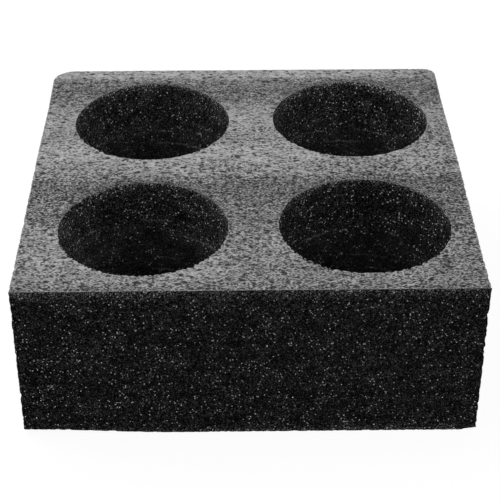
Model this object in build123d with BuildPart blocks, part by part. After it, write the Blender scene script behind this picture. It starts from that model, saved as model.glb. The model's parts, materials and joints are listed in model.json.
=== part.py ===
"""Cup holder cut from a block of laminated packing foam, with four round pockets."""
import os
from math import radians, tan

from build123d import *

# Block: width along X, depth along Y, height built up from welded foam sheets
block_width = 200.0
block_depth = 200.0
sheet_thickness = 7.0
sheet_count = 11
stack_height = sheet_count * sheet_thickness

# Vertical corners: the two at the rear are worn round, the two at the front stay sharp
rear_left_radius = 11.5
rear_right_radius = 6.5

# Skin of the top sheet: it rises and falls in gentle waves from front to rear.
# Each pair is the place along the depth and the height, as shares of depth and wave.
skin_wave = 1.0
skin_wave_shares = [
    (-0.500, 0.10),
    (-0.240, -0.50),
    (-0.020, 0.45),
    (0.160, 0.10),
    (0.330, -0.50),
    (0.455, 0.50),
    (0.500, 0.30),
]

# Cup pockets: a square grid that sits a little right of centre and towards the front
pocket_diameter = 76.0
pocket_pitch = 97.5
pocket_rows = 2
grid_shift_right = 2.5
grid_shift_front = 2.5

# Sheets left whole below the pockets, and the bead of melted foam where they meet the wall
floor_sheets = 2
floor_height = floor_sheets * sheet_thickness
weld_bead = 1.5
bead_slope = 45.0

# How far a cutting tool runs past the face that it enters
cut_overrun = 5.0

# Foam block
with BuildPart() as foam_block:
    # Side profile, with the wavy skin as its top line, drawn across the width
    with BuildSketch(Plane.YZ):
        with BuildLine():
            skin = Spline(
                *[
                    (along_share * block_depth, stack_height + rise_share * skin_wave)
                    for along_share, rise_share in skin_wave_shares
                ]
            )
            Polyline(
                skin @ 0,
                (-block_depth / 2, 0),
                (block_depth / 2, 0),
                skin @ 1,
            )
        make_face()
    extrude(amount=block_width / 2, both=True)

    # Worn rear corners, left then right
    for end, radius in ((0, rear_left_radius), (-1, rear_right_radius)):
        rear_edges = foam_block.edges().filter_by(Axis.Z).group_by(Axis.Y)[-1]
        fillet(rear_edges.sort_by(Axis.X)[end], radius=radius)

    # Blind cup pockets: a foot that opens out along the weld bead, then a bore up through the skin
    bore_radius = pocket_diameter / 2
    foot_radius = bore_radius - weld_bead * tan(radians(bead_slope))
    bead_top = floor_height + weld_bead
    bore_length = stack_height - bead_top + skin_wave + cut_overrun
    for level, radius, length, slope in (
        (floor_height, foot_radius, weld_bead, bead_slope),
        (bead_top, bore_radius, bore_length, 0),
    ):
        with BuildSketch(Plane.XY.offset(level)):
            with Locations((grid_shift_right, -grid_shift_front)):
                with GridLocations(pocket_pitch, pocket_pitch, pocket_rows, pocket_rows):
                    Circle(radius)
        extrude(amount=length, taper=-slope, mode=Mode.SUBTRACT)

foam_block.part.label = "foam_block"

# Export
os.makedirs("parts", exist_ok=True)
export_step(foam_block.part, "parts/foam_block.step")
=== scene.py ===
"""Cup holder of black packing foam: a block of welded sheets with a grey skin and four round pockets."""

import json
import math

import bmesh
import bpy
import numpy as np
from mathutils import Matrix, Vector, noise


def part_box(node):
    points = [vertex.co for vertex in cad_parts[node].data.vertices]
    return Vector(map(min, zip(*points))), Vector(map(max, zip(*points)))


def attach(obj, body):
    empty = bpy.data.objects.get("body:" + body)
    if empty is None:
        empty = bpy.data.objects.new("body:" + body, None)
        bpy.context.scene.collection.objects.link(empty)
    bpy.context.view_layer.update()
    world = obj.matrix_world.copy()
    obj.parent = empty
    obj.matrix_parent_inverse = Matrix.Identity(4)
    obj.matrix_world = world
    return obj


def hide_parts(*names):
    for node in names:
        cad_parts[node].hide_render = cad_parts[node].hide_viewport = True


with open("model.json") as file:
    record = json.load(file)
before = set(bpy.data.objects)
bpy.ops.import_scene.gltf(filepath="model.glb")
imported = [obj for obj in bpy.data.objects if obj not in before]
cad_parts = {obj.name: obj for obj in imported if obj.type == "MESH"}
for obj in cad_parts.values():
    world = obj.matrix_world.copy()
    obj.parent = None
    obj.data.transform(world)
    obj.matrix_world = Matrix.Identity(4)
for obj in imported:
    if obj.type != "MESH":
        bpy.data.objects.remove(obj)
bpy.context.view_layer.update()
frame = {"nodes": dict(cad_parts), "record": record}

# The scene is in metres, and node patterns are drawn in millimetres
MM = 0.001
PER_METRE = 1000.0

# Block, pockets and heights, read from the frame
NODE = "foam_block"
CAD_POINTS = np.array([vertex.co for vertex in frame["nodes"][NODE].data.vertices])
LOW, HIGH = (np.array(corner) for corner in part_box(NODE))
SIZE = HIGH - LOW
SAME_PLACE = 0.02 * MM
POCKETS = [mount for mount in frame["record"]["mounts"] if mount["kind"] == "bore"]
POCKET_CENTRES = np.array([mount["pos_m"][:2] for mount in POCKETS])
POCKET_RADIUS = POCKETS[0]["dims"]["r_mm"] * MM
GRID_CENTRE = POCKET_CENTRES.mean(axis=0)

# The block is built up from welded sheets
SHEET_COUNT = 11
SHEET = SIZE[2] / SHEET_COUNT

# Fineness of the mesh
CELL_STEPS = 92
SKIN_RINGS = 13
SKIN_EASE_SHARE = 0.55
SIDE_ROWS_PER_SHEET = 6
WALL_ROWS = 15
WALL_BUNCHING = 1.3
FLOOR_RINGS = 2
BASE_RINGS = 3

# Finishes, in the order of the piece's material slots
SKIN, CUT_SIDE, POCKET_WALL = range(3)


# Shape read from the CAD mesh

def pocket_levels():
    """Floor height, height of the top of the weld bead, and radius of the flat floor."""
    reach = np.hypot(*(CAD_POINTS[:, :2] - POCKET_CENTRES[0]).T)
    inside = reach < POCKET_RADIUS + SAME_PLACE
    floor = CAD_POINTS[inside, 2].min()
    on_wall = inside & (reach > POCKET_RADIUS - SAME_PLACE)
    bead_top = CAD_POINTS[on_wall, 2].min()
    on_floor = inside & (CAD_POINTS[:, 2] < floor + SAME_PLACE)
    return floor, bead_top, reach[on_floor].max()


def skin_line():
    """The wavy top of the block, as places along the depth and their heights."""
    middle = LOW[2] + SIZE[2] / 2
    floor = pocket_levels()[0]
    top = CAD_POINTS[CAD_POINTS[:, 2] > max(middle, floor)]
    order = np.argsort(top[:, 1])
    return top[order, 1], top[order, 2]


def rear_radius(side):
    """Radius of the worn rear corner on the side at this place along the width."""
    on_side = np.abs(CAD_POINTS[:, 0] - side) < SAME_PLACE
    return HIGH[1] - CAD_POINTS[on_side, 1].max()


# Each rim was cut a little off its circle: right, back, wider and deeper, in millimetres
RIM_OFFSETS = {
    "pocket_front_left": (-0.35, 0.2, -0.7, -1.1),
    "pocket_front_right": (0.15, 1.3, -0.2, -0.6),
    "pocket_rear_left": (-0.35, -0.5, -0.1, 1.0),
    "pocket_rear_right": (0.45, 0.7, 0.3, 0.7),
}


def rim_oval(mount, centre):
    """Middle of a pocket's rim, and its half-widths along the width and the depth."""
    right, back, wider, deeper = (offset * MM for offset in RIM_OFFSETS[mount["name"]])
    return centre + (right, back), POCKET_RADIUS + np.array([wider, deeper])


FLOOR_HEIGHT, BEAD_TOP, FLOOR_RADIUS = pocket_levels()
RIM_OVALS = [rim_oval(mount, centre) for mount, centre in zip(POCKETS, POCKET_CENTRES)]
SKIN_PLACES, SKIN_HEIGHTS = skin_line()
REAR_CORNERS = [(side, rear_radius(side)) for side in (LOW[0], HIGH[0])]


def skin_height(depth_places):
    return np.interp(depth_places, SKIN_PLACES, SKIN_HEIGHTS)


# Mesh of the block: four cells, each with one pocket

def wear_corner(loop, corner_x, radius):
    """Bends the points near a rear corner onto its arc."""
    inward = 1 if corner_x < GRID_CENTRE[0] else -1
    centre = np.array([corner_x + inward * radius, HIGH[1] - radius])
    along = np.abs(loop[:, 0] - corner_x)
    back = HIGH[1] - loop[:, 1]
    on_rear = (back < SAME_PLACE) & (along < radius)
    on_side = (along < SAME_PLACE) & (back < radius) & ~on_rear
    eighth_turn = math.pi / 4
    turn = (1 - along[on_rear] / radius) * eighth_turn
    loop[on_rear] = centre + radius * np.stack([-inward * np.sin(turn), np.cos(turn)], axis=1)
    turn = (1 - back[on_side] / radius) * eighth_turn
    loop[on_side] = centre + radius * np.stack([-inward * np.cos(turn), np.sin(turn)], axis=1)


def cell_outline(column, row):
    """Points round a cell, counter-clockwise from its front left corner."""
    x_low, x_high = ((LOW[0], GRID_CENTRE[0]), (GRID_CENTRE[0], HIGH[0]))[column]
    y_low, y_high = ((LOW[1], GRID_CENTRE[1]), (GRID_CENTRE[1], HIGH[1]))[row]
    corners = np.array([(x_low, y_low), (x_high, y_low), (x_high, y_high), (x_low, y_high)])
    ends = np.roll(corners, -1, axis=0)
    steps = np.arange(CELL_STEPS)[:, None] / CELL_STEPS
    loop = np.concatenate([start + (end - start) * steps for start, end in zip(corners, ends)])
    for corner_x, radius in REAR_CORNERS:
        wear_corner(loop, corner_x, radius)
    return loop


def circle(centre, radius):
    """Points round a circle or oval from its front left, one for each point of a cell's outline."""
    count = 4 * CELL_STEPS
    front_left = -math.pi * 3 / 4
    turn = np.arange(count) / count * math.tau + front_left
    return centre + radius * np.stack([np.cos(turn), np.sin(turn)], axis=1)


def at_height(flat, height):
    """Points in the plane, lifted to one height or to a height each."""
    return np.column_stack([flat, np.broadcast_to(height, len(flat))])


def eased(count, ease_share):
    """Shares from 0 to 1 that bunch up at both ends."""
    even = np.linspace(0, 1, count + 1)
    bunched = (1 - np.cos(math.pi * even)) / 2
    return even + (bunched - even) * ease_share


class Shell:
    """Points and faces of the block as they are added, with the finish of each face."""

    def __init__(self):
        self.points = []
        self.faces = []
        self.finishes = []

    def add_rows(self, rows, finish):
        """Joins closed rows of points, each as long as the next, into a sheet of quads."""
        start = len(self.points)
        count = len(rows[0])
        for line in rows:
            self.points.extend(map(tuple, line))
        for level in range(len(rows) - 1):
            for step in range(count):
                here = start + level * count + step
                beside = start + level * count + (step + 1) % count
                self.faces.append((here, beside, beside + count, here + count))
                self.finishes.append(finish)

    def add_fan(self, line, middle, finish):
        """Closes a ring of points with triangles to its middle."""
        start = len(self.points)
        count = len(line)
        self.points.extend(map(tuple, line))
        self.points.append(tuple(middle))
        for step in range(count):
            self.faces.append((start + step, start + (step + 1) % count, start + count))
            self.finishes.append(finish)

    def add_disc(self, centre, outline, height, ring_count, finish):
        """A level face inside an outline, in rings round its centre."""
        reaches = np.linspace(1, 0, ring_count + 1)[:-1]
        rings = [at_height(centre + (outline - centre) * reach, height) for reach in reaches]
        self.add_rows(rings, finish)
        self.add_fan(rings[-1], (*centre, height), finish)


def add_skin(shell, rim, outline):
    flats = [rim + (outline - rim) * share for share in eased(SKIN_RINGS, SKIN_EASE_SHARE)]
    shell.add_rows([at_height(flat, skin_height(flat[:, 1])) for flat in flats], SKIN)


def add_pocket(shell, centre, rim):
    """Wall from the rim to the true bore, weld bead and floor."""
    top = at_height(rim, skin_height(rim[:, 1]))
    bore_end = at_height(circle(centre, POCKET_RADIUS), BEAD_TOP)
    fall_shares = np.linspace(0, 1, WALL_ROWS + 1) ** WALL_BUNCHING
    shell.add_rows([top + (bore_end - top) * share for share in fall_shares], POCKET_WALL)
    foot = circle(centre, FLOOR_RADIUS)
    shell.add_rows([bore_end, at_height(foot, FLOOR_HEIGHT)], POCKET_WALL)
    shell.add_disc(centre, foot, FLOOR_HEIGHT, FLOOR_RINGS, SKIN)


def add_sides(shell, outlines):
    """The four cut sides, round the block from its front left corner."""
    front, right, rear, left = range(4)
    walk = [((0, 0), front), ((1, 0), front), ((1, 0), right), ((1, 1), right)]
    walk += [((1, 1), rear), ((0, 1), rear), ((0, 1), left), ((0, 0), left)]
    sides = [outlines[cell][side * CELL_STEPS:(side + 1) * CELL_STEPS] for cell, side in walk]
    loop = np.concatenate(sides)
    tops = skin_height(loop[:, 1])
    fall_shares = np.linspace(0, 1, SHEET_COUNT * SIDE_ROWS_PER_SHEET + 1)
    rows = [at_height(loop, tops + (LOW[2] - tops) * share) for share in fall_shares]
    shell.add_rows(rows, CUT_SIDE)


def block_shell():
    shell = Shell()
    outlines = {}
    for centre, oval in zip(POCKET_CENTRES, RIM_OVALS):
        cell = tuple(int(place > middle) for place, middle in zip(centre, GRID_CENTRE))
        outlines[cell] = cell_outline(*cell)
        rim = circle(*oval)
        add_skin(shell, rim, outlines[cell])
        add_pocket(shell, centre, rim)
        shell.add_disc(centre, outlines[cell], LOW[2], BASE_RINGS, SKIN)
    add_sides(shell, outlines)
    return shell


# Roughness of the foam, always pushed into the block

NICK_DEPTH = 1.1 * MM
NICK_SCALE = 1.07 * MM
REAR_NICK_SHARE = 0.25
RIM_NICK_GAIN = 1.5
RIM_NICK_REACH = 1.5 * MM
RIM_NICK_DEPTH = 5 * MM
FOOT_PUSH_SHARE = 0.75
BASE_PUSH_SHARE = 0.55
WAVE_DEPTH = 0.25 * MM
WAVE_SCALE = 35 * MM
WELD_GROOVE = 0.25 * MM
WELD_HALF_WIDTH = 1.1 * MM
SKIN_LUMP = 0.30 * MM
SKIN_LUMP_SCALE = 7 * MM

# The cutter drags the skin down at the rear of each pocket, by these shares of the full drag; the same
# shares set the painted shade on these rims
RIM_DRAG = 0.3 * MM
RIM_DRAG_REACH = 6 * MM
RIM_DRAG_DEPTH = 12 * MM
RIM_DRAG_SHARES = {
    "pocket_front_left": 1.0,
    "pocket_front_right": 0.6,
    "pocket_rear_left": 0.8,
    "pocket_rear_right": 0.9,
}

# The left and right flanks of the pockets look lighter in the photo: share of tone added to each
FLANK_GAINS = {
    "pocket_front_left": (1.9, 1.0),
    "pocket_front_right": (0.5, -0.2),
    "pocket_rear_left": (0.45, 0.1),
    "pocket_rear_right": (0.5, -0.2),
}
FLANK_DEPTH = 10 * MM
FLANK_MARGIN = 1.5 * MM

# The front corners curl up off the floor: side, lift and reach along the front edge
FOOT_LIFTS = [(LOW[0], 2.4 * MM, 70 * MM), (HIGH[0], 1.3 * MM, 8 * MM)]
FOOT_LIFT_DEPTH = 110 * MM
FOOT_LIFT_HEIGHT = 40 * MM

# How level a surface is where it counts as an edge and as skin: 0 is upright and 1 is level
EDGE_LEVEL = 0.75
SKIN_LEVEL = 0.95

# The skin is torn at its edges, most at worn rims and least at the rear
RIM_TEAR = 5.0
LEAST_TEAR_SHARE = 0.1

SHARP_ANGLE = math.radians(40)


def fade(distance, reach):
    """Falls smoothly from 1 to 0 over the reach."""
    share = np.clip(1 - distance / reach, 0, 1)
    return share * share * (3 - 2 * share)


def rough(place, scale):
    """Smooth noise from 0 to 1 at this scale."""
    return (noise.noise(Vector(place) / scale) + 1) / 2


def past_rim(flat, oval):
    """How far each place lies outside a pocket's rim."""
    centre, radii = oval
    offset = flat - centre
    turn = np.arctan2(offset[:, 1], offset[:, 0])
    return np.hypot(*offset.T) - 1 / np.hypot(np.cos(turn) / radii[0], np.sin(turn) / radii[1])


def skin_edge_distances(places):
    """Distances along the skin to the nearest pocket rim, far on the underside, and to the outline."""
    flat = places[:, :2]
    to_rims = [np.abs(past_rim(flat, oval)) for oval in RIM_OVALS]
    under_floor = places[:, 2] < (LOW[2] + FLOOR_HEIGHT) / 2
    to_rim = np.where(under_floor, SIZE[0], np.min(to_rims, axis=0))
    to_sides = [flat - LOW[:2], HIGH[:2] - flat]
    return to_rim, np.min(np.concatenate(to_sides, axis=1), axis=1)


def front_share(places):
    """1 at the front of the block, falling to 0 at its rear."""
    return fade(places[:, 1] - LOW[1], SIZE[1])


def foot_lift(places):
    """How far each place rises with the corner that it is near."""
    back = fade(places[:, 1] - LOW[1], FOOT_LIFT_DEPTH)
    back = back * fade(places[:, 2] - LOW[2], FOOT_LIFT_HEIGHT)
    lifts = [lift * fade(np.abs(places[:, 0] - side), reach) for side, lift, reach in FOOT_LIFTS]
    return sum(lifts) * back


def rim_drag_and_shade(places):
    """Share of drag on each place, which also sets the painted shade on the rim: full at the rear of a
    pocket's rim, and none at its front.
    """
    drag_and_shade = np.zeros(len(places))
    for mount, oval in zip(POCKETS, RIM_OVALS):
        offset = places[:, :2] - oval[0]
        rear = np.clip(offset[:, 1] / np.maximum(np.hypot(*offset.T), SAME_PLACE), 0, 1)
        near = np.clip(1 - np.abs(past_rim(places[:, :2], oval)) / RIM_DRAG_REACH, 0, 1)
        drag_and_shade = np.maximum(drag_and_shade, RIM_DRAG_SHARES[mount["name"]] * rear * near * near)
    return drag_and_shade


def flank_tone(places, depths):
    """Share of tone added on the flanks of the pockets, below their rims."""
    added = np.zeros(len(places))
    for mount, oval in zip(POCKETS, RIM_OVALS):
        sideways = (places[:, 0] - oval[0][0]) / POCKET_RADIUS
        within = past_rim(places[:, :2], oval) < FLANK_MARGIN
        left, right = FLANK_GAINS[mount["name"]]
        added += within * np.where(sideways < 0, left, right) * sideways * sideways
    return added * (1 - fade(depths, FLANK_DEPTH))


def weld_groove(place):
    """Depth of the shallow groove along the nearest weld between two sheets."""
    height = place[2] - LOW[2]
    nearest = round(height / SHEET)
    if nearest in (0, SHEET_COUNT):
        return 0
    apart = (height - nearest * SHEET) / WELD_HALF_WIDTH
    return WELD_GROOVE * math.exp(-apart * apart)


def level_share(normal):
    """1 where the surface is level, and 0 where it is upright or an edge."""
    return min(max((abs(normal[2]) - EDGE_LEVEL) / (SKIN_LEVEL - EDGE_LEVEL), 0), 1)


def push(place, normal, nick_depth):
    """How far the surface lies inside the plain block at this place."""
    nick = nick_depth * max(0, noise.noise(Vector(place) / NICK_SCALE))
    wave = WAVE_DEPTH * rough(place, WAVE_SCALE)
    side = nick + weld_groove(place) + wave
    skin = SKIN_LUMP * rough(place, SKIN_LUMP_SCALE)
    return side + (skin - side) * level_share(normal)


def all_pushes(places, normals, nick_depths):
    """How far each place is pushed in: less towards the foot, and least on the base."""
    pushes = np.array([push(*each) for each in zip(places, normals, nick_depths)])
    rise = (places[:, 2] - LOW[2]) / SIZE[2]
    pushes *= FOOT_PUSH_SHARE + (1 - FOOT_PUSH_SHARE) * rise
    pushes[places[:, 2] < LOW[2] + SAME_PLACE] *= BASE_PUSH_SHARE
    return pushes


def store(mesh, name, values):
    """Keeps a value for each point of the mesh, for the materials."""
    mesh.attributes.new(name, "FLOAT", "POINT").data.foreach_set("value", values)


def read_points(mesh, name):
    """A vector for each point of the mesh, such as its place or its normal."""
    values = np.empty(len(mesh.vertices) * 3)
    mesh.vertices.foreach_get(name, values)
    return values.reshape(-1, 3)


def roughen(mesh):
    """Pushes the surface into the block, and stores what the materials need."""
    places = read_points(mesh, "co")
    normals = read_points(mesh, "normal")
    to_rim, to_side = skin_edge_distances(places)
    depths = skin_height(places[:, 1]) - places[:, 2]
    drag_and_shade_shares = rim_drag_and_shade(places) * fade(depths, RIM_DRAG_DEPTH)
    front = front_share(places)
    tear_rim = to_rim / (1 + RIM_TEAR * drag_and_shade_shares)
    tear_side = to_side / np.maximum(front, LEAST_TEAR_SHARE)
    store(mesh, "edge", np.minimum(to_rim, to_side) * PER_METRE)
    store(mesh, "tear", np.minimum(tear_rim, tear_side) * PER_METRE)
    store(mesh, "depth", depths * PER_METRE)
    # The drag share also sets the painted shade on the rims
    store(mesh, "drag_and_shade", drag_and_shade_shares)
    store(mesh, "flank", flank_tone(places, depths))
    nick_depths = NICK_DEPTH * (REAR_NICK_SHARE + (1 - REAR_NICK_SHARE) * front)
    nick_depths *= 1 + RIM_NICK_GAIN * fade(to_rim, RIM_NICK_REACH) * fade(depths, RIM_NICK_DEPTH)
    moved = places - normals * all_pushes(places, normals, nick_depths)[:, None]
    moved[:, 2] += foot_lift(places) - RIM_DRAG * drag_and_shade_shares
    mesh.vertices.foreach_set("co", np.clip(moved, LOW, HIGH).ravel())
    mesh.update()


def weld(mesh):
    """Joins points that lie in the same place, and turns all faces outward."""
    welded = bmesh.new()
    welded.from_mesh(mesh)
    bmesh.ops.remove_doubles(welded, verts=welded.verts, dist=SAME_PLACE)
    bmesh.ops.recalc_face_normals(welded, faces=welded.faces)
    welded.to_mesh(mesh)
    welded.free()


def build_block(materials):
    shell = block_shell()
    mesh = bpy.data.meshes.new("foam_cup_holder")
    mesh.from_pydata(shell.points, [], shell.faces)
    mesh.polygons.foreach_set("material_index", shell.finishes)
    weld(mesh)
    for material in materials:
        mesh.materials.append(material)
    mesh.polygons.foreach_set("use_smooth", [True] * len(mesh.polygons))
    roughen(mesh)
    mesh.set_sharp_from_angle(angle=SHARP_ANGLE)
    piece = bpy.data.objects.new("foam_cup_holder", mesh)
    bpy.context.scene.collection.objects.link(piece)
    return piece


# Materials

# Noise and chance values run from 0 to 1 about this middle
MIDDLE = 0.5


class Graph:
    """A node tree, with short ways to add to it."""

    def __init__(self, tree):
        self.tree = tree

    def put(self, socket, value):
        if isinstance(value, bpy.types.NodeSocket):
            self.tree.links.new(value, socket)
        else:
            socket.default_value = value

    def node(self, kind, settings=None, **values):
        made = self.tree.nodes.new(kind)
        for name, value in (settings or {}).items():
            setattr(made, name, value)
        for name, value in values.items():
            self.put(made.inputs[name.replace("_", " ")], value)
        return made

    def maths(self, operation, *values, clamp=False):
        made = self.node("ShaderNodeMath", {"operation": operation, "use_clamp": clamp})
        for socket, value in zip(made.inputs, values):
            self.put(socket, value)
        return made.outputs["Value"]

    def product(self, first, *others):
        for other in others:
            first = self.maths("MULTIPLY", first, other)
        return first

    def remap(self, value, start, end, low=0.0, high=1.0):
        """Goes smoothly from low to high while value goes from start to end."""
        made = self.node("ShaderNodeMapRange", {"interpolation_type": "SMOOTHSTEP"}, Value=value)
        for name, given in (("From Min", start), ("From Max", end), ("To Min", low), ("To Max", high)):
            self.put(made.inputs[name], given)
        return made.outputs["Result"]

    def blend(self, start, end, share):
        """A value between start and end."""
        made = self.node("ShaderNodeMix", {"data_type": "FLOAT"}, Factor=share, A=start, B=end)
        return made.outputs["Result"]

    def attribute(self, name):
        return self.node("ShaderNodeAttribute", {"attribute_name": name}).outputs["Fac"]

    def places(self, stretch=(1.0, 1.0, 1.0)):
        """Places on the object in millimetres, for a pattern drawn out by stretch."""
        made = self.node("ShaderNodeVectorMath", {"operation": "MULTIPLY"})
        self.put(made.inputs[0], self.node("ShaderNodeTexCoord").outputs["Object"])
        self.put(made.inputs[1], [PER_METRE / each for each in stretch])
        return made.outputs["Vector"]

    def drawn_out(self, stretch):
        """Places in millimetres, for a pattern drawn out along the width."""
        return self.places((stretch, 1.0, 1.0))

    def axis(self, places, name):
        """One coordinate of the places."""
        return self.node("ShaderNodeSeparateXYZ", Vector=places).outputs[name]

    def warp(self, places, size, amount):
        """Places shifted about by noise of this size."""
        drift = self.node("ShaderNodeTexNoise", Vector=places, Scale=1 / size, Detail=1.0)
        centred = self.node("ShaderNodeVectorMath", {"operation": "SUBTRACT"})
        self.put(centred.inputs[0], drift.outputs["Color"])
        self.put(centred.inputs[1], (MIDDLE, MIDDLE, MIDDLE))
        made = self.node("ShaderNodeVectorMath", {"operation": "MULTIPLY_ADD"})
        self.put(made.inputs[0], centred.outputs["Vector"])
        self.put(made.inputs[1], (amount, amount, amount))
        self.put(made.inputs[2], places)
        return made.outputs["Vector"]

    def noise(self, places, size, detail=2.0):
        made = self.node("ShaderNodeTexNoise", Vector=places, Scale=1 / size, Detail=detail)
        return made.outputs["Fac"]

    def swing(self, pattern):
        """A pattern moved to swing about 0."""
        return self.maths("SUBTRACT", pattern, MIDDLE)

    def lively(self, pattern, contrast):
        """A pattern made to swing about 1, mostly dim with a few strong places."""
        return self.maths("EXPONENT", self.product(self.swing(pattern), contrast))

    def bubbles(self, places, size, dimensions="3D"):
        """Distance from the middle of the nearest bubble, and two chance values of that bubble."""
        settings = {"voronoi_dimensions": dimensions}
        made = self.node("ShaderNodeTexVoronoi", settings, Vector=places, Scale=1 / size)
        chances = self.node("ShaderNodeSeparateColor", Color=made.outputs["Color"]).outputs
        return made.outputs["Distance"], chances["Red"], chances["Green"]

    def bubble_walls(self, places, size, width_share):
        """Thin walls between bubbles."""
        settings = {"feature": "DISTANCE_TO_EDGE"}
        made = self.node("ShaderNodeTexVoronoi", settings, Vector=places, Scale=1 / size)
        return self.remap(made.outputs["Distance"], width_share, 0.0)

    def seen(self):
        """1 for rays from the camera and for those that gloss or glass sends on."""
        path = self.node("ShaderNodeLightPath").outputs
        either = self.maths("ADD", path["Is Camera Ray"], path["Is Glossy Ray"])
        return self.maths("ADD", either, path["Is Transmission Ray"], clamp=True)


class Finish(Graph):
    """The nodes of one material."""

    def __init__(self, name):
        self.material = bpy.data.materials.new(name)
        self.material.use_nodes = True
        super().__init__(self.material.node_tree)
        self.shader = self.tree.nodes["Principled BSDF"]

    def bump(self, height, depth, strength):
        made = self.node("ShaderNodeBump", Height=height, Distance=depth, Strength=strength)
        self.put(self.shader.inputs["Normal"], made.outputs["Normal"])


# Bands of pits, also painted darker as the shade of the skin's waves: place from front to rear, and share
# of the skin that is pitted there
BAND_SHARES = [
    (0.00, 0.85),
    (0.06, 0.53),
    (0.20, 0.51),
    (0.30, 0.80),
    (0.37, 1.00),
    (0.43, 1.00),
    (0.48, 0.38),
    (0.56, 0.10),
    (0.65, 0.40),
    (0.73, 0.25),
    (0.78, 0.23),
    (0.83, 0.73),
    (0.88, 1.00),
    (0.93, 0.84),
    (0.97, 0.16),
]
BAND_WANDER = 8.0
BAND_WANDER_SIZE = 40.0

# Painted shade: the right-hand margin of the skin is given more pits and a darker film, standing in for
# the side away from the light
SHADED_SIDE_WIDTH = 40.0
SHADED_SIDE_SHARE = 0.25

# Patches of the skin that are more or less pitted: right, back and reach in millimetres, share added
SKIN_PATCHES = [
    (-76.0, -74.0, 34.0, -0.40),
    (-25.0, -85.0, 24.0, -0.30),
    (-36.0, -2.0, 22.0, -0.22),
    (57.0, -4.0, 24.0, 0.40),
    (-96.0, 58.0, 22.0, 0.25),
]


def band_ramp(graph, along):
    """Share of pitted skin, also painted darker as shade, at a place from 0 at the front to 1 at the
    rear.
    """
    ramp = graph.node("ShaderNodeValToRGB", Fac=along)
    ramp.color_ramp.interpolation = "EASE"
    stops = ramp.color_ramp.elements
    while len(stops) < len(BAND_SHARES):
        stops.new(MIDDLE)
    for stop, (place_share, pit_share) in zip(stops, BAND_SHARES):
        stop.position = place_share
        stop.color = (pit_share, pit_share, pit_share, 1.0)
    return ramp.outputs["Color"]


def patch_share(graph, places, right, back, reach, share):
    """Share of pits that a round patch adds, most at its middle."""
    height = float(HIGH[2] * PER_METRE)
    apart = graph.node("ShaderNodeVectorMath", {"operation": "DISTANCE"})
    graph.put(apart.inputs[0], places)
    graph.put(apart.inputs[1], (right, back, height))
    return graph.remap(apart.outputs["Value"], 0.0, reach, share, 0.0)


def bands_of_pits_and_shade(graph, places):
    """Share of pitted skin, also painted darker as shade: bands from front to rear, a right-hand margin
    of painted shade and a few patches.
    """
    wander = graph.noise(places, BAND_WANDER_SIZE)
    depth = graph.maths("MULTIPLY_ADD", wander, BAND_WANDER, graph.axis(places, "Y"))
    start, end = (float(place * PER_METRE) + BAND_WANDER / 2 for place in (LOW[1], HIGH[1]))
    along = graph.node("ShaderNodeMapRange", Value=depth, From_Min=start, From_Max=end)
    right = float(HIGH[0] * PER_METRE)
    # Painted shade on the right-hand margin of the skin
    margin = right - SHADED_SIDE_WIDTH
    shaded_side = graph.remap(graph.axis(places, "X"), margin, right, 0.0, SHADED_SIDE_SHARE)
    band = graph.maths("ADD", band_ramp(graph, along.outputs["Result"]), shaded_side)
    for patch in SKIN_PATCHES:
        band = graph.maths("ADD", band, patch_share(graph, places, *patch))
    return graph.maths("ADD", band, 0.0, clamp=True)


# Skin patterns: how far each is drawn out along the width, and its size in millimetres
COARSE_STRETCH = 2.2
COARSE_SIZE = 1.6
FINE_STRETCH = 1.9
FINE_SIZE = 0.55
CLOUD_STRETCH = 2.0
CLOUD_SIZE = 6.0
CLUSTER_STRETCH = 1.5
CLUSTER_SIZE = 4.5
PIT_STRETCH = 1.35
PIT_WARP_SIZE = 1.5
PIT_WARP = 1.6

# Film of the skin: pairs are for smooth skin, then for pitted skin, whose film is painted darker as the
# shade of the skin's waves
COARSE_SWINGS = (1.6, 2.0)
FINE_SWINGS = (2.6, 7.4)
FILM_LEVELS = (0.97, 0.66)
FILM_TOPS = (1.2, 1.6)
FILM_LEAST = 0.08
FILM_SHARES = (1.0, 0.57)
CLOUD_RANGE = (0.25, 0.75)
CLOUD_TONES = (0.29, 0.385)

# Towards the rear the skin is calmer: where this starts and ends, in millimetres behind the middle
CALM_PLACES = (10.0, 65.0)
CALM_SHARES = (1.0, 0.68)

# Pits in the skin: sizes in millimetres, and shares of bubbles chosen, of their width and of tone lost
SMALL_PIT_SIZE = 2.0
SMALL_PIT_RADIUS_SHARE = 0.29
SMALL_PIT_DARK_SHARE = 0.76
CROWD_RANGE = (0.42, 0.60)
CROWD_SHARES = (0.22, 1.0)
PITTED_CHANCE_SHARE = 0.85
LARGE_PIT_SIZE = 4.6
LARGE_PIT_CHANCE_SHARE = 0.72
LARGE_PIT_RADIUS_SHARE = 0.20
LARGE_PIT_DARK_SHARE = 0.82
PIT_LEAST_RADIUS_SHARE = 0.5
PIT_BOTTOM_SHARE = 0.5

# Edges of the skin, in millimetres: a pale lip, painted shade where the rims are dragged down, and a torn
# fringe
LIP_REACHES = (0.9, 0.2)
LIP_TONE = 0.32
LIP_SHARE = 0.6
DRAGGED_RIM_SHADE = 0.45
TEAR_SIZE = 0.8
TEAR_DEPTH = 1.8
TEAR_RANGE = (-0.75, -1.05)
TORN_TONE = 0.03

# Gloss and relief of the skin
HOLLOW_LEVEL = 0.9
SKIN_ROUGHNESS = (0.5, 0.8)
SKIN_SPECULAR = 0.2
SKIN_BUMP_DEPTH = 0.4 * MM
SKIN_BUMP_STRENGTH = 0.7


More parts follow.
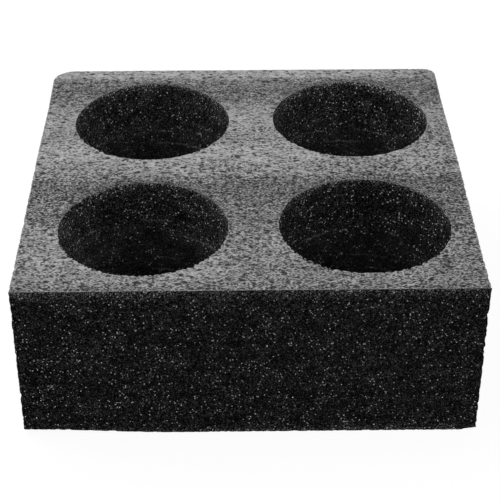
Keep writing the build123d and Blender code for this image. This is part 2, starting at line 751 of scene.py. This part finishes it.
def pits(graph, places, size, chance_share, radius_share):
    """Round hollows, one in each bubble that is chosen by chance_share."""
    distance, pick, width = graph.bubbles(places, size, "2D")
    chosen = graph.maths("LESS_THAN", pick, chance_share)
    least = radius_share * PIT_LEAST_RADIUS_SHARE
    radius = graph.maths("MULTIPLY_ADD", width, radius_share, least)
    bottom = graph.product(radius, PIT_BOTTOM_SHARE)
    return graph.product(chosen, graph.remap(distance, radius, bottom))


def darken(graph, tone, share, cover):
    """Takes this share of the tone away where cover is 1."""
    return graph.product(tone, graph.blend(1.0, 1 - share, cover))


def skin_wholeness(finish, band, calm):
    """How whole the film is: about 1 on smooth skin, and uneven on pitted skin."""
    coarse = finish.swing(finish.noise(finish.drawn_out(COARSE_STRETCH), COARSE_SIZE))
    fine = finish.swing(finish.noise(finish.drawn_out(FINE_STRETCH), FINE_SIZE, detail=1.0))
    swing = finish.product(coarse, finish.blend(*COARSE_SWINGS, band))
    grit = finish.product(fine, finish.blend(*FINE_SWINGS, band))
    swing = finish.maths("MULTIPLY_ADD", grit, calm, swing)
    whole = finish.maths("ADD", swing, finish.blend(*FILM_LEVELS, band))
    whole = finish.maths("MINIMUM", whole, finish.blend(*FILM_TOPS, band))
    return finish.maths("MAXIMUM", whole, FILM_LEAST)


def skin_pits(finish, band):
    """Small pits, which crowd together, and large ones."""
    ragged = finish.warp(finish.drawn_out(PIT_STRETCH), PIT_WARP_SIZE, PIT_WARP)
    cluster = finish.noise(finish.drawn_out(CLUSTER_STRETCH), CLUSTER_SIZE, detail=1.0)
    crowd = finish.remap(cluster, *CROWD_RANGE, *CROWD_SHARES)
    chance = finish.blend(crowd, PITTED_CHANCE_SHARE, band)
    small = pits(finish, ragged, SMALL_PIT_SIZE, chance, SMALL_PIT_RADIUS_SHARE)
    large = pits(finish, ragged, LARGE_PIT_SIZE, LARGE_PIT_CHANCE_SHARE, LARGE_PIT_RADIUS_SHARE)
    return small, large


def skin_edges(finish, places, tone):
    """The tone of the skin with its pale lip, painted shade on the dragged-down rims, and torn fringe."""
    lip = finish.remap(finish.attribute("edge"), *LIP_REACHES, 0.0, LIP_SHARE)
    tone = finish.blend(tone, LIP_TONE, lip)
    # Painted shade where the skin curls down at the rear of a rim
    tone = darken(finish, tone, DRAGGED_RIM_SHADE, finish.attribute("drag_and_shade"))
    fringe = finish.noise(places, TEAR_SIZE)
    ragged_tear = finish.maths("MULTIPLY_ADD", fringe, -TEAR_DEPTH, finish.attribute("tear"))
    return finish.blend(tone, TORN_TONE, finish.remap(ragged_tear, *TEAR_RANGE))


def skin_material():
    """Smooth grey film on the outer sheet, full of small burst bubbles."""
    finish = Finish("foam_skin")
    places = finish.places()
    band = bands_of_pits_and_shade(finish, places)
    calm = finish.remap(finish.axis(places, "Y"), *CALM_PLACES, *CALM_SHARES)
    whole = skin_wholeness(finish, band, calm)
    small, large = skin_pits(finish, band)
    cloud = finish.noise(finish.drawn_out(CLOUD_STRETCH), CLOUD_SIZE, detail=3.0)
    film = finish.product(whole, finish.remap(cloud, *CLOUD_RANGE, *CLOUD_TONES))
    # Painted shade: the film is darker where the skin is pitted, standing in for the shade of the skin's
    # waves
    film = finish.product(film, finish.blend(*FILM_SHARES, band))
    tone = darken(finish, film, SMALL_PIT_DARK_SHARE, finish.product(small, calm))
    tone = darken(finish, tone, LARGE_PIT_DARK_SHARE, large)
    tone = skin_edges(finish, places, tone)
    finish.put(finish.shader.inputs["Base Color"], tone)
    thin = finish.maths("SUBTRACT", HOLLOW_LEVEL, whole)
    hollow = finish.maths("MAXIMUM", finish.maths("MAXIMUM", thin, small), large)
    finish.put(finish.shader.inputs["Roughness"], finish.blend(*SKIN_ROUGHNESS, hollow))
    finish.shader.inputs["Specular IOR Level"].default_value = SKIN_SPECULAR
    finish.bump(finish.product(hollow, -1.0), SKIN_BUMP_DEPTH, SKIN_BUMP_STRENGTH)
    return finish.material


# Patterns of the cut foam, in millimetres
WEB_SIZE = 0.36
WEB_WARP_SIZE = 1.2
WEB_WARP = 0.9
DRIFT_SIZE = 0.8
DRIFT_CONTRAST = 2.0
WALL_SIZE = 1.5
WALL_WIDTH_SHARE = 0.16
WALL_PATCH_SIZE = 1.3
CLUMP_SIZE = 9.0
CLUMP_RANGE = (0.3, 0.7)
CLUMP_TONES = (0.7, 1.3)
CLUMP_GLINTS = (0.35, 1.65)

# Deep in the pockets, where little light reaches, the foam is painted calmer as painted shade: the web
# loses contrast and gains tone to keep its level, and the painted glints fade; start and end depths in
# millimetres, then near and deep values
CALM_DEPTHS = (16.0, 36.0)
CALM_CONTRASTS = (7.0, 3.5)
CALM_TONES = (1.0, 3.4)
CALM_GLINTS = (1.0, 0.10)

# Welds between sheets, in millimetres, and the stretches and depths of the pockets where their seams show
WELD_WANDER = 1.6
WELD_WANDER_SIZE = 9.0
WELD_WIDTH = 1.4
SEAM_WIDTH = 1.0
SEAM_STRETCH = (4.0, 4.0, 1.0)
SEAM_PATCH_SIZE = 5.0
SEAM_RANGE = (0.5, 0.65)
SEAM_DEPTHS = (14.0, 20.0)

# Painted light: the tone of the pockets is lifted from the front pair to the rear pair over these places
# along the depth, standing in for a haze of light over the rear pair
REAR_PAIR_PLACES = (-8.0, 8.0)

# Painted light on the cut foam near the skin and at the foot, in millimetres
EDGE_LIGHT_NOISE_SIZE = 1.6
EDGE_LIGHT_RANGE = (0.25, 0.75)
EDGE_LIGHT_SHARES = (0.5, 1.6)
FOOT_LIGHT_GAIN = 5.0
FOOT_LIGHT_REACH = 1.0

# Painted glints, bright specks that stand in for highlights on the bubble walls: they fade out between
# these shares of a bubble, and few are strong
GLINT_SHARES = (0.6, 0.3)
GLINT_POWER = 2.0

# Gloss and relief of the cut foam
BRIGHTEST = 0.9
FOAM_ROUGHNESS = (0.75, 0.45)
FOAM_SPECULAR = 0.02
WEB_RELIEF_SHARE = 0.3
FOAM_BUMP_DEPTH = 0.4 * MM
FOAM_BUMP_STRENGTH = 0.6


def weld_share(graph, places, width):
    """Nearness to a weld between two sheets, which wanders a little."""
    wander = graph.noise(places, WELD_WANDER_SIZE)
    up = graph.maths("MULTIPLY_ADD", wander, WELD_WANDER, graph.axis(places, "Z"))
    up = graph.maths("SUBTRACT", up, WELD_WANDER / 2)
    sheet = float(SHEET * PER_METRE)
    apart = graph.maths("PINGPONG", up, sheet / 2)
    return graph.remap(apart, width, 0.0)


def painted_edge_light(graph, places, gain, reach):
    """Painted light: how much lighter the foam is painted near the skin, where more light reaches it, and
    at the foot, standing in for light thrown up from the floor.
    """
    uneven_reach = graph.remap(graph.noise(places, EDGE_LIGHT_NOISE_SIZE), *EDGE_LIGHT_RANGE, *EDGE_LIGHT_SHARES)
    depth = graph.product(graph.attribute("depth"), uneven_reach)
    near = graph.maths("EXPONENT", graph.product(depth, -1 / reach))
    low = graph.maths("EXPONENT", graph.product(graph.axis(places, "Z"), -1 / FOOT_LIGHT_REACH))
    lighter = graph.maths("MULTIPLY_ADD", near, gain, 1.0)
    return graph.maths("MULTIPLY_ADD", low, FOOT_LIGHT_GAIN, lighter)


def foam_web(finish, places, calm):
    """Cut bubbles, each with a tone of its own, and the thin walls of larger ones."""
    ragged = finish.warp(places, WEB_WARP_SIZE, WEB_WARP)
    _, chance, _ = finish.bubbles(ragged, WEB_SIZE)
    web = finish.lively(chance, finish.blend(*CALM_CONTRASTS, calm))
    drift = finish.lively(finish.noise(places, DRIFT_SIZE, detail=1.0), DRIFT_CONTRAST)
    walls = finish.bubble_walls(ragged, WALL_SIZE, WALL_WIDTH_SHARE)
    walls = finish.product(walls, finish.noise(places, WALL_PATCH_SIZE))
    return finish.product(web, drift), walls


def foam_glints(finish, places, clumps, calm, size, share):
    """Painted highlights: bright specks where a bubble's wall would catch the light, painted fewer deep
    in a pocket where less light reaches.
    """
    chance = finish.product(finish.remap(clumps, *CLUMP_RANGE, *CLUMP_GLINTS), share)
    distance, pick, bright = finish.bubbles(places, size)
    chosen = finish.maths("LESS_THAN", pick, chance)
    spot = finish.product(chosen, finish.remap(distance, *GLINT_SHARES))
    glint = finish.product(spot, finish.maths("POWER", bright, GLINT_POWER))
    return finish.product(glint, finish.blend(*CALM_GLINTS, calm))


def foam_seams(finish, places):
    """Stretches of the welds that show as pale lines deep in a pocket."""
    shown = finish.noise(finish.places(SEAM_STRETCH), SEAM_PATCH_SIZE)
    seam = finish.product(weld_share(finish, places, SEAM_WIDTH), finish.remap(shown, *SEAM_RANGE))
    return finish.product(seam, finish.remap(finish.attribute("depth"), *SEAM_DEPTHS))


def cut_foam_material(
    name, tone, glint_size, glint_share, glint_tone, weld_tone, seam_gain,
    edge_light_gain, edge_light_reach, calm_share, rear_haze_gain,
):
    """Cut black foam: dark open bubbles with a web of thin walls, with painted glints standing in for
    highlights and painted light near the skin and the foot.
    """
    finish = Finish(name)
    places = finish.places()
    clumps = finish.noise(places, CLUMP_SIZE, detail=3.0)
    calm = finish.product(finish.remap(finish.attribute("depth"), *CALM_DEPTHS), calm_share)
    web, walls = foam_web(finish, places, calm)
    glint = foam_glints(finish, places, clumps, calm, glint_size, glint_share)
    base = finish.product(
        finish.maths("ADD", web, walls),
        tone,
        finish.remap(clumps, *CLUMP_RANGE, *CLUMP_TONES),
        finish.blend(1.0, weld_tone, weld_share(finish, places, WELD_WIDTH)),
        finish.blend(*CALM_TONES, calm),
        # painted haze of light over the rear pair of pockets
        finish.remap(finish.axis(places, "Y"), *REAR_PAIR_PLACES, 1.0, rear_haze_gain),
        finish.maths("MULTIPLY_ADD", foam_seams(finish, places), seam_gain, 1.0),
        finish.maths("ADD", finish.attribute("flank"), 1.0),
        # painted light near the skin and at the foot
        painted_edge_light(finish, places, edge_light_gain, edge_light_reach),
    )
    # Painted highlights: the glints are added to the base colour
    base = finish.maths("MULTIPLY_ADD", glint, glint_tone, base)
    finish.put(finish.shader.inputs["Base Color"], finish.maths("MINIMUM", base, BRIGHTEST))
    finish.put(finish.shader.inputs["Roughness"], finish.blend(*FOAM_ROUGHNESS, glint))
    finish.shader.inputs["Specular IOR Level"].default_value = FOAM_SPECULAR
    web_relief = finish.maths("MINIMUM", finish.product(web, WEB_RELIEF_SHARE), 1.0)
    finish.bump(finish.maths("ADD", walls, web_relief), FOAM_BUMP_DEPTH, FOAM_BUMP_STRENGTH)
    return finish.material


def block_materials():
    """The finishes, in the order of the material slots."""
    skin = skin_material()
    cut_side = cut_foam_material(
        "cut_foam", tone=0.0042, glint_size=0.54, glint_share=0.042, glint_tone=4.5,
        weld_tone=0.7, seam_gain=0.0, edge_light_gain=3.6, edge_light_reach=3.0, calm_share=0.0, rear_haze_gain=1.0,
    )
    # The pocket's painted glints are stronger, standing in for the highlights its walls catch
    pocket_wall = cut_foam_material(
        "pocket_foam", tone=0.0049, glint_size=0.60, glint_share=0.048, glint_tone=14.0,
        weld_tone=0.9, seam_gain=2.5, edge_light_gain=5.0, edge_light_reach=1.5, calm_share=1.0, rear_haze_gain=1.3,
    )
    return skin, cut_side, pocket_wall


# Stage, lamp and camera

WHITE = (1.0, 1.0, 1.0, 1.0)
FLOOR_HALF = 6.0
FLOOR_COLOUR = (0.09, 0.09, 0.09, 1.0)
FLOOR_ROUGHNESS = 0.9
FLOOR_GLOW = 0.93
SKY_LIGHT = 0.72
SKY_SEEN = 1.0

KEY_PLACE = (-0.7, 0.35, 1.3)
KEY_SIZE = 1.0
KEY_POWER = 9.0

CAMERA_AIM = Vector((1.05, -12.5, 38.06)) * MM
CAMERA_DISTANCE = 679.07 * MM
CAMERA_ELEVATION = math.radians(34.005)
CAMERA_YAW = math.radians(0.833)
CAMERA_ROLL = math.radians(-0.010)
CAMERA_LENS = 102.02
CAMERA_NEAR = 10 * MM
SENSOR = 36.0


def floor_material():
    """Dark to the light, so that it throws little back, and near white to the camera."""
    finish = Finish("white_floor")
    finish.shader.inputs["Base Color"].default_value = FLOOR_COLOUR
    finish.shader.inputs["Roughness"].default_value = FLOOR_ROUGHNESS
    finish.shader.inputs["Specular IOR Level"].default_value = 0.0
    finish.shader.inputs["Emission Color"].default_value = WHITE
    finish.put(finish.shader.inputs["Emission Strength"], finish.product(finish.seen(), FLOOR_GLOW))
    return finish.material


def build_floor():
    ends = (-FLOOR_HALF, FLOOR_HALF)
    corners = [(x, y, 0) for y in ends for x in ends]
    mesh = bpy.data.meshes.new("floor")
    mesh.from_pydata(corners, [], [(0, 1, 3, 2)])
    mesh.materials.append(floor_material())
    floor = bpy.data.objects.new("floor", mesh)
    bpy.context.scene.collection.objects.link(floor)
    floor.location.z = float(LOW[2])


def build_world():
    world = bpy.data.worlds.new("studio")
    bpy.context.scene.world = world
    world.use_nodes = True
    graph = Graph(world.node_tree)
    background = world.node_tree.nodes["Background"]
    background.inputs["Color"].default_value = WHITE
    graph.put(background.inputs["Strength"], graph.blend(SKY_LIGHT, SKY_SEEN, graph.seen()))


def build_key_lamp():
    """One soft lamp, aimed at the middle of the block's underside."""
    light = bpy.data.lights.new("key", "AREA")
    light.shape = "DISK"
    light.size = KEY_SIZE
    light.energy = KEY_POWER
    lamp = bpy.data.objects.new("key", light)
    bpy.context.scene.collection.objects.link(lamp)
    lamp.location = KEY_PLACE
    lamp.rotation_euler = (-Vector(KEY_PLACE)).to_track_quat("-Z", "Y").to_euler()


def build_camera():
    data = bpy.data.cameras.new("camera")
    data.sensor_width = SENSOR
    data.lens = CAMERA_LENS
    data.clip_start = CAMERA_NEAR
    camera = bpy.data.objects.new("camera", data)
    bpy.context.scene.collection.objects.link(camera)
    turn = Matrix.Rotation(-CAMERA_YAW, 4, "Z")
    turn = turn @ Matrix.Rotation(math.radians(90) - CAMERA_ELEVATION, 4, "X")
    turn = turn @ Matrix.Rotation(CAMERA_ROLL, 4, "Z")
    back = turn @ Vector((0, 0, CAMERA_DISTANCE))
    camera.matrix_world = Matrix.Translation(CAMERA_AIM + back) @ turn
    bpy.context.scene.camera = camera


bpy.context.scene.view_settings.view_transform = "Standard"
block = build_block(block_materials())
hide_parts(NODE)
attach(block, "root")
build_floor()
build_world()
build_key_lamp()
build_camera()
